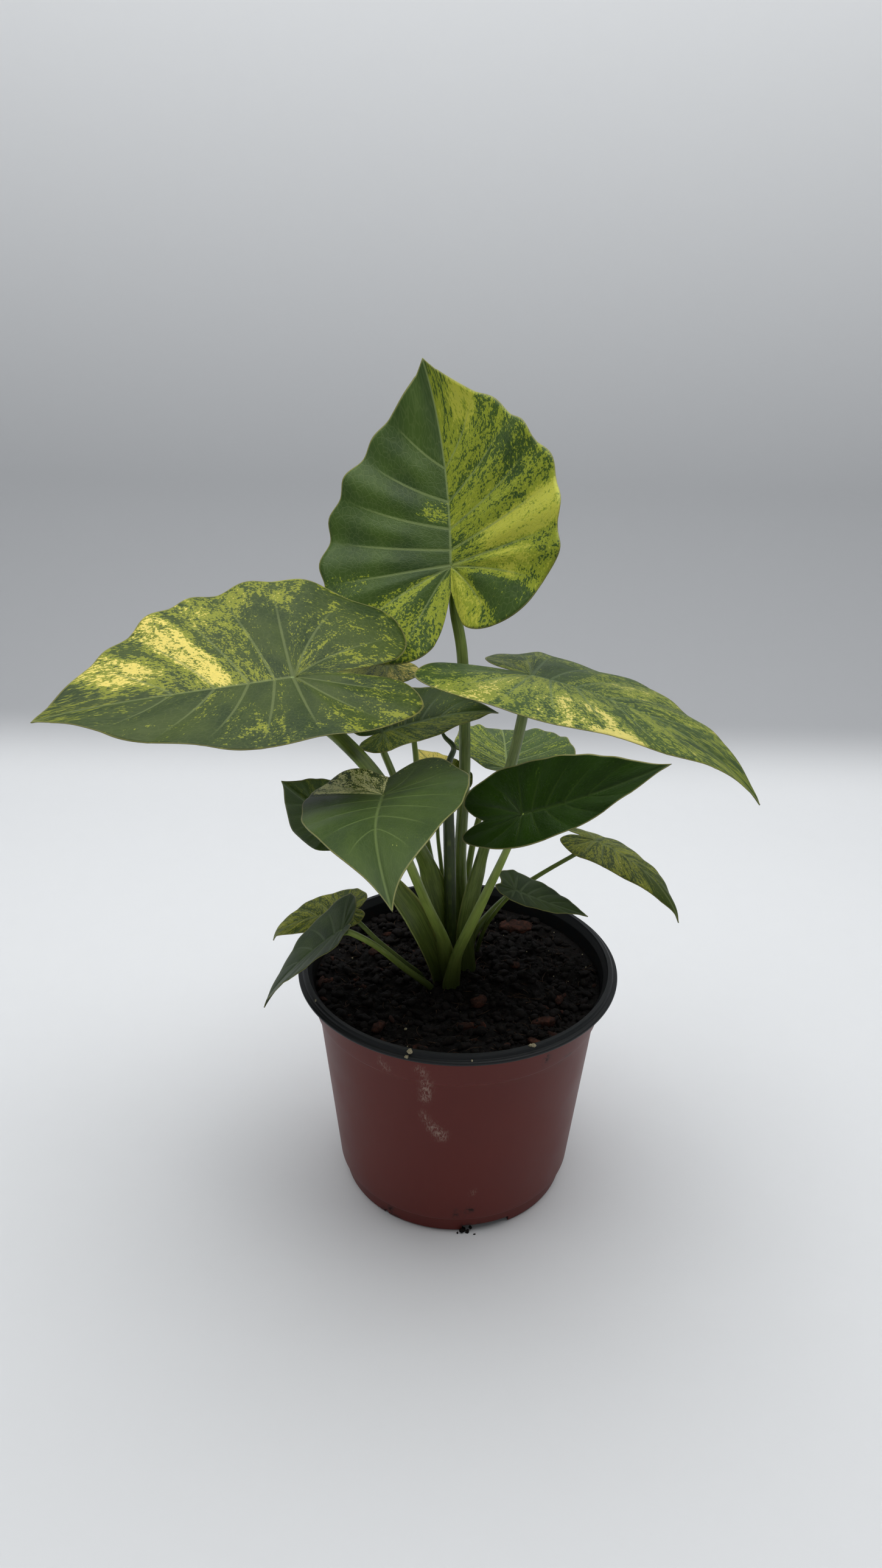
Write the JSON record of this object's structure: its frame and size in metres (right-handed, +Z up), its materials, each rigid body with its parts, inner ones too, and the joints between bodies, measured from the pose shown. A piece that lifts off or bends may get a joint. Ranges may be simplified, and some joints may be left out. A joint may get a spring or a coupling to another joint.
{
  "type": "potted alocasia",
  "caption": "Variegated alocasia: heart-shaped marbled blades on sheathing petioles, rooted in soil in a tapered two-tone nursery pot.",
  "frame": {"origin": "middle of the pot's underside", "axes": "+Z up along the pot's axis; -Y towards the plant's front; +X to the right seen from the front"},
  "size_m": [0.2808, 0.2644, 0.3779],
  "materials": {
    "pot": "terracotta-coloured outside, black inside and rim, low sheen",
    "soil": "moist dark peat with fibres and fine bark",
    "bark": "rough reddish bark",
    "corm": "brown fibrous stem base",
    "stem": "smooth satin green",
    "leaf_green": "satin mid green with a cream patch",
    "leaf_dark": "satin dark green, lightly flecked",
    "leaf_lime": "satin, marbled lime and green",
    "leaf_cream": "satin, marbled cream, yellow and green"
  },
  "bodies": {
    "root": {"pot": "pot", "soil": "soil", "corm": "corm", "bark_chip_1": "bark", "bark_chip_2": "bark", "bark_chip_3": "bark", "bark_chip_4": "bark", "bark_chip_5": "bark", "bark_chip_6": "bark", "blade_a": "leaf_lime", "petiole_a": "stem", "blade_b": "leaf_cream", "petiole_b": "stem", "blade_c": "leaf_dark", "petiole_c": "stem", "blade_d": "leaf_green", "petiole_d": "stem", "blade_e": "leaf_dark", "petiole_e": "stem", "blade_f": "leaf_cream", "petiole_f": "stem", "blade_g": "leaf_dark", "petiole_g": "stem", "blade_h": "leaf_dark", "petiole_h": "stem", "blade_i": "leaf_cream", "petiole_i": "stem", "blade_j": "leaf_dark", "petiole_j": "stem", "blade_k": "leaf_dark", "petiole_k": "stem", "blade_l": "leaf_lime", "petiole_l": "stem", "blade_m": "leaf_cream", "petiole_m": "stem", "blade_o": "leaf_cream", "petiole_o": "stem", "spear": "stem"}
  },
  "joints": []
}
